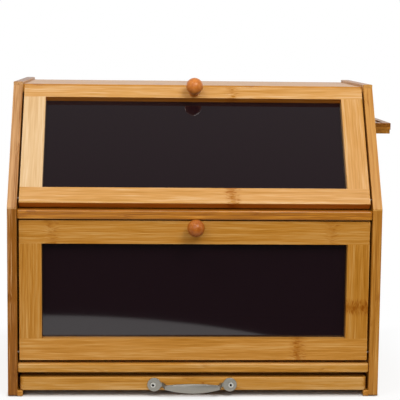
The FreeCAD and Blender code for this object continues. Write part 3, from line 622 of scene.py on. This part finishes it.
# %% Turned wood
INWARD = {"upper_door_knob": BACK * math.cos(SLOPE) - UP * math.sin(SLOPE),
          "lower_door_knob": BACK}
KNOB_TONES = {"upper_door_knob": ("#CE7C32", "#BA6824"), "lower_door_knob": ("#AE6018", "#9C5010")}
KNOB_STREAK = (20.0, 3.5, 3.5)
NOISE_SPAN = (0.3, 0.7)


def turned_wood(name, inward, tones):
    """Lacquered wood whose grain runs inward through the knob."""
    material, tree = new_material(name)
    _, point = board_axes(tree, inward, inward.cross(RIGHT), Vector(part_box(name)[0]))
    stretch = add(tree, "VectorMath", [point, [1 / size for size in KNOB_STREAK]],
                  operation="MULTIPLY")
    streak = add(tree, "TexNoise", {"Vector": stretch, "Scale": 1.0, "Detail": 1.0})
    ramp = add(tree, "ValToRGB", [streak])
    for element, code, stop in zip(ramp.color_ramp.elements, tones, NOISE_SPAN):
        element.color, element.position = colour(code), stop
    lacquered = add(tree, "BsdfPrincipled", {"Base Color": ramp, "Roughness": 0.34,
                                             "IOR": LACQUER_IOR, "Specular IOR Level": 0.3})
    add(tree, "OutputMaterial", {"Surface": lacquered})
    return material


for name, inward in INWARD.items():
    dress(name, turned_wood(name, inward, KNOB_TONES[name]))
print("knobs dressed:", list(INWARD))

# %% [markdown]
# The windows are smoked acrylic sheet: a clear plastic with a dark dye. Real glass shaders
# bend the light at both faces, which costs much and shows nothing on a thin flat sheet. So
# the dye is a nearly black base colour with a faint purple cast, and the share that is seen
# through is one minus the alpha. A sheet mirrors at both its faces, hence the high specular.

# %% Smoked acrylic
acrylic, tree = new_material("smoked_acrylic")
sheet = add(tree, "BsdfPrincipled", {"Base Color": colour("#1A0D12"), "Roughness": 0.05,
                                     "IOR": 1.49, "Specular IOR Level": 0.8, "Alpha": 0.9})
add(tree, "OutputMaterial", {"Surface": sheet})
panes = [name for name in nodes if name.endswith("_pane")]
for name in panes:
    dress(name, acrylic)
print("panes:", panes)

# %% [markdown]
# The metals differ by how they were finished, and the eye reads that from the highlight. The
# pull is stainless steel brushed along its length, so its roughness is streaked that way. The
# screws are bright zinc with a cloudy bloom. The pivot pins are ground round, and the magnets
# and the discs they hold are plated with nickel, which is warmer and smoother.

# %% Metals
METAL_RELIEF, METAL_BUMP = 0.02, 0.3


def metal(name, code, rough, streak):
    """A metal whose roughness varies in streaks; their sizes are in millimetres."""
    material, tree = new_material(name)
    place = add(tree, "TexCoord")
    stretch = add(tree, "Mapping", {"Vector": place.outputs["Object"],
                                    "Scale": [1 / (size * MM) for size in streak]})
    noise = add(tree, "TexNoise", {"Vector": stretch, "Scale": 1.0, "Detail": 3.0})
    spread = add(tree, "MapRange", {"Value": noise, "From Min": NOISE_SPAN[0],
                                    "From Max": NOISE_SPAN[1], "To Min": rough[0],
                                    "To Max": rough[1]})
    bump = add(tree, "Bump", {"Height": noise, "Strength": METAL_BUMP,
                              "Distance": METAL_RELIEF * MM})
    shiny = add(tree, "BsdfPrincipled", {"Base Color": colour(code), "Metallic": 1.0,
                                         "Roughness": spread, "Normal": bump})
    add(tree, "OutputMaterial", {"Surface": shiny})
    return material


steel = metal("brushed_steel", "#97938A", (0.32, 0.52), (14.0, 2.0, 0.3))
zinc = metal("bright_zinc", "#C4C2BA", (0.2, 0.4), (0.8, 0.8, 0.8))
pin_steel = metal("ground_steel", "#8E8B86", (0.35, 0.5), (4.0, 0.3, 0.3))
nickel = metal("nickel_plate", "#D2CDC2", (0.12, 0.2), (3.0, 3.0, 3.0))
METAL_OF = {"pull_handle": steel, "_screws": zinc, "_screw": zinc, "_pin": pin_steel,
            "_discs": nickel, "_magnets": nickel}
for name in nodes:
    for ending, finish in METAL_OF.items():
        if name.endswith(ending):
            dress(name, finish)
print("metals:", sorted({finish.name for finish in METAL_OF.values()}))

# %% [markdown]
# Every screw of the box is driven with a cross-head driver. Its recess could be drawn with a
# bump, but a real hollow catches the light from every side. The cutter for it is a tapered
# cross: it starts as a cube, grows four wings by extruding its sides, and is narrowed at its
# lower end. The cutter carries a dark dull metal that it leaves on the faces it cuts: this is
# painted shade, which darkens the inside of each small recess.

# %% Cross recesses: the cutter
WING, CORE, TALL = 0.5, 0.36, 1.1
NARROWED = 0.45
SQUARELY = 0.9
SAME_PLANE = 1e-6
# painted shade: a dark dull metal for the faces inside each recess
recess_shade_paint = metal("painted_recess_shade", "#2A2724", (0.6, 0.8), (0.8, 0.8, 0.8))


def select_only(*objects):
    """Select these objects and nothing else, the first as the active one."""
    bpy.ops.object.select_all(action="DESELECT")
    for thing in objects:
        thing.select_set(True)
    bpy.context.view_layer.objects.active = objects[0]


def cross_cutter(head):
    """A tapered cross for a head of a given radius, its top above the origin, pointing down."""
    bpy.ops.object.select_all(action="DESELECT")
    bpy.ops.mesh.primitive_cube_add(size=1.0)
    cutter = bpy.context.object
    cutter.name = "cross_cutter"
    # the cutter carries the painted shade into the recess
    cutter.data.materials.append(recess_shade_paint)
    cutter.scale = (head * CORE, head * CORE, head * TALL)
    bpy.ops.object.transform_apply(scale=True)
    mesh = cutter.data
    for direction in (RIGHT, -RIGHT, BACK, -BACK):
        bpy.ops.object.mode_set(mode="EDIT")
        bpy.ops.mesh.select_all(action="DESELECT")
        bpy.ops.object.mode_set(mode="OBJECT")
        facing = [face for face in mesh.polygons if face.normal.dot(direction) > SQUARELY]
        far = max(face.center.dot(direction) for face in facing)
        for face in facing:
            face.select = face.center.dot(direction) > far - SAME_PLANE
        bpy.ops.object.mode_set(mode="EDIT")
        bpy.ops.mesh.extrude_region_move(TRANSFORM_OT_translate={"value": direction * head * WING})
        bpy.ops.object.mode_set(mode="OBJECT")
    for vertex in mesh.vertices:
        vertex.select = vertex.co.z < 0
    bpy.ops.object.mode_set(mode="EDIT")
    bpy.ops.transform.resize(value=(NARROWED, NARROWED, 1.0))
    bpy.ops.object.mode_set(mode="OBJECT")
    return cutter


print("a wing reaches", WING + CORE / 2, "of the head's radius from the middle")

# %% [markdown]
# A set of screws is one piece of the frame, and a frame piece keeps its points. So the set
# is copied, the copy is taken apart into single screws, and a cutter turned to face each head
# is subtracted with a Boolean modifier. Then the screws are joined again to stand in for the
# set. Screws stop at a chance angle, so each cross is turned further than the one before.
# The table gives the radius of each set's heads in millimetres and the way they face.

# %% Cross recesses: cutting them
TURN_STEP = math.radians(37)
HEADS = {"left_side_screws": (4.0, -RIGHT), "right_side_screws": (4.0, RIGHT),
         "knife_bar_screws": (4.0, -RIGHT), "pull_handle_screws": (2.8, -BACK),
         "lower_door_knob_screw": (3.8, BACK),
         "upper_door_knob_screw": (3.8, INWARD["upper_door_knob"])}


def single_screws(name):
    """A copy of a set of screws, taken apart."""
    select_only(nodes[name])
    bpy.ops.object.duplicate()
    bpy.ops.object.mode_set(mode="EDIT")
    bpy.ops.mesh.select_all(action="SELECT")
    bpy.ops.mesh.remove_doubles(threshold=WELD_WITHIN * MM)
    bpy.ops.mesh.separate(type="LOOSE")
    bpy.ops.object.mode_set(mode="OBJECT")
    return [thing for thing in bpy.context.selected_objects if thing.type == "MESH"]


def cut_recess(screw, head, out, angle):
    """Sink a cross into the end of a screw that faces out."""
    middle = sum((Vector(corner) for corner in screw.bound_box), Vector()) / 8
    top = max(vertex.co.dot(out) for vertex in screw.data.vertices)
    cutter = cross_cutter(head)
    place = Matrix.Translation(middle + out * (top - middle.dot(out)))
    facing = out.to_track_quat("Z", "X").to_matrix().to_4x4()
    cutter.matrix_world = place @ facing @ Matrix.Rotation(angle, 4, "Z")
    cut = screw.modifiers.new("recess", "BOOLEAN")
    cut.object = cutter
    cut.solver = "EXACT"
    # the cut faces take the cutter's painted shade
    cut.material_mode = "TRANSFER"
    select_only(screw)
    bpy.ops.object.modifier_apply(modifier=cut.name)
    bpy.data.objects.remove(cutter)


for name, (head, out) in HEADS.items():
    singles = single_screws(name)
    for count, screw in enumerate(singles):
        cut_recess(screw, head * MM, out, TURN_STEP * count)
    select_only(*singles)
    if len(singles) > 1:
        bpy.ops.object.join()
    piece = bpy.context.object
    piece.name = f"{name}_crossed"
    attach(piece, body_of[name])
    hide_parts(name)
    print(name, "screws:", len(singles), "points:", len(piece.data.vertices))

# %% [markdown]
# The floor is plain and pale. Beneath the box it is an ordinary matt surface, and its paint
# there is a little darker: a painted shadow. Beside the box most of it turns into the white
# of the surroundings within millimetres, and the rest within centimetres, so the box stands
# in a soft shadow. It does so for the camera and for reflections alone, and gives off no light
# that would fall on the box. A plain white floor would do too, but it needs strong lamps to
# look white, and they would bleach the wood. The distance from the box's own outline on the
# floor tells where the change comes. For light on its way to the box the paint is a grey, so
# less of it comes back up from below.

# %% Floor: its material
FOOT_MIDDLE = (-10.0, 10.0)
FOOT_HALF = (200.0, 127.5)
NEAR, FAR = (-2.0, 4.0), (0.0, 120.0)
NEAR_GLOW, FAR_GLOW = 0.8, 0.2

floor_paint, tree = new_material("pale_floor")
x, y, _ = add(tree, "SeparateXYZ", [add(tree, "TexCoord").outputs["Object"]]).outputs
outside = []
for way, middle, half in zip((x, y), FOOT_MIDDLE, FOOT_HALF):
    off = add(tree, "Math", [way, middle * MM], operation="SUBTRACT")
    reach = add(tree, "Math", [off], operation="ABSOLUTE")
    outside.append(add(tree, "Math", [reach, half * MM], operation="SUBTRACT"))
distance = add(tree, "Math", outside, operation="MAXIMUM")
near, far = [add(tree, "MapRange", {"Value": distance, "From Min": low * MM,
                                    "From Max": high * MM}, interpolation_type="SMOOTHSTEP")
             for low, high in (NEAR, FAR)]
rays = add(tree, "LightPath")
direct = add(tree, "Math", [rays.outputs["Is Camera Ray"], rays.outputs["Is Glossy Ray"]],
             operation="MAXIMUM")
seen = add(tree, "Math", [direct, rays.outputs["Is Transmission Ray"]], operation="MAXIMUM")
near_part = add(tree, "Math", [near, NEAR_GLOW], operation="MULTIPLY")
both = add(tree, "Math", [far, FAR_GLOW, near_part], operation="MULTIPLY_ADD")
glow = add(tree, "Math", [both, seen], operation="MULTIPLY")
# painted shadow: the floor's paint is a little darker beneath the box
paint = add(tree, "Mix", {0: near, 6: colour("#ECEAE6"), 7: colour("#F4F3F1")}, data_type="RGBA")
bounce = add(tree, "Mix", {0: seen, 6: colour("#A09E9A"), 7: paint.outputs[2]}, data_type="RGBA")
matt = add(tree, "BsdfDiffuse", {"Color": bounce.outputs[2]})
white = add(tree, "Emission", {"Color": (1, 1, 1, 1), "Strength": 1.0})
add(tree, "OutputMaterial", {"Surface": add(tree, "MixShader", [glow, matt, white])})
print("the floor is mostly white", NEAR[1], "mm off the box and all white at", FAR[1], "mm")

# %% [markdown]
# The floor itself is a flat oval table top. Its front edge matters: the shiny lower window
# mirrors it as a soft curve low in the pane, so its size and place are chosen for that.

# %% Floor: its shape
FLOOR_SIZE = (0.65, 1.117)
FLOOR_AT = (-0.2, 0.6, -0.0002)

bpy.ops.object.select_all(action="DESELECT")
bpy.ops.mesh.primitive_circle_add(vertices=256, radius=1.0, fill_type="NGON", location=FLOOR_AT)
floor = bpy.context.object
floor.name = "floor"
floor.scale = (*FLOOR_SIZE, 1.0)
bpy.ops.object.transform_apply(location=True, scale=True)
floor.data.materials.append(floor_paint)
floor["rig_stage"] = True
print("floor:", [2 * size for size in FLOOR_SIZE], "m")

# %% [markdown]
# The surroundings are a plain white studio. They fill in weakly from the front and more from
# behind, and the camera sees them white. Polished faces see dark surroundings in front, as in
# a real studio with black cloths round the camera, so the windows stay dark.

# %% Surroundings
FRONT_FILL, BACK_FILL = 0.12, 0.75
FRONT_MIRRORED, BACK_MIRRORED = 0.04, 1.0
FILL_SPAN, CLOTH_SPAN = (-0.6, 0.6), (-0.6, 0.1)

world = bpy.data.worlds.new("studio")
bpy.context.scene.world = world
world.use_nodes = True
tree = world.node_tree
tree.nodes.clear()
rays = add(tree, "LightPath")
_, backward, _ = add(tree, "SeparateXYZ", [add(tree, "TexCoord").outputs["Generated"]]).outputs
fill = add(tree, "MapRange", {"Value": backward, "From Min": FILL_SPAN[0],
                              "From Max": FILL_SPAN[1], "To Min": FRONT_FILL, "To Max": BACK_FILL})
cloths = add(tree, "MapRange", {"Value": backward, "From Min": CLOTH_SPAN[0],
                                "From Max": CLOTH_SPAN[1], "To Min": FRONT_MIRRORED,
                                "To Max": BACK_MIRRORED})
clear = add(tree, "Math", [rays.outputs["Is Camera Ray"], rays.outputs["Is Transmission Ray"]],
            operation="MAXIMUM")
glossy = add(tree, "Mix", {0: rays.outputs["Is Glossy Ray"], 2: fill, 3: cloths},
             data_type="FLOAT")
strength = add(tree, "Mix", {0: clear, 2: glossy, 3: 1.0}, data_type="FLOAT")
sky = add(tree, "Background", {"Color": (1, 1, 1, 1), "Strength": strength})
add(tree, "OutputWorld", {"Surface": sky})
print("the surroundings light with", FRONT_FILL, "in front and", BACK_FILL, "behind")

# %% [markdown]
# The lamps are softboxes, because a large lamp gives soft shadows and wide highlights. The
# key hangs in front, above and to the right, so the sloping door is the brightest face and
# the knobs throw their shadows down and to the left. A wide one in front on the left lifts
# the lower half, a small one above on the left shines on the sloping door as a pale veil,
# and a weak one on either side gives the knobs and the pull their side lights. The table
# gives each one's place and width in metres, its power in watts and the point it faces.

# %% Studio lamps
BOX_MIDDLE = (0, 0, 0.17)
SOFTBOXES = {"key": ((0.45, -1.14, 1.18), 0.65, 14.5, BOX_MIDDLE),
             "front": ((-0.6, -1.8, 0.95), 1.3, 14.0, BOX_MIDDLE),
             "veil": ((-0.64, -0.76, 1.55), 0.45, 5.0, (-0.1, -0.08, 0.27)),
             "left_wing": ((-1.3, -0.6, 0.5), 0.5, 1.6, BOX_MIDDLE),
             "right_wing": ((1.3, -0.6, 0.5), 0.5, 1.2, BOX_MIDDLE)}

for name, (at, size, power, toward) in SOFTBOXES.items():
    bpy.ops.object.light_add(type="AREA", location=at)
    lamp = bpy.context.object
    lamp.name = name
    lamp.data.size = size
    lamp.data.energy = power
    lamp.rotation_euler = (Vector(toward) - Vector(at)).to_track_quat("-Z", "Y").to_euler()
bpy.context.scene.view_settings.view_transform = "Standard"
print("softboxes:", list(SOFTBOXES))

# %% [markdown]
# At the end the size of the dressed box is written down next to that of the frame, to show
# that the dressing has not changed it, and the scene is handed over.

# %% Size and finish
size = {"cad": cad_box, "visual": [list(corner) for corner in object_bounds()]}
print("object's box:", [[round(value, 4) for value in corner] for corner in size["visual"]])
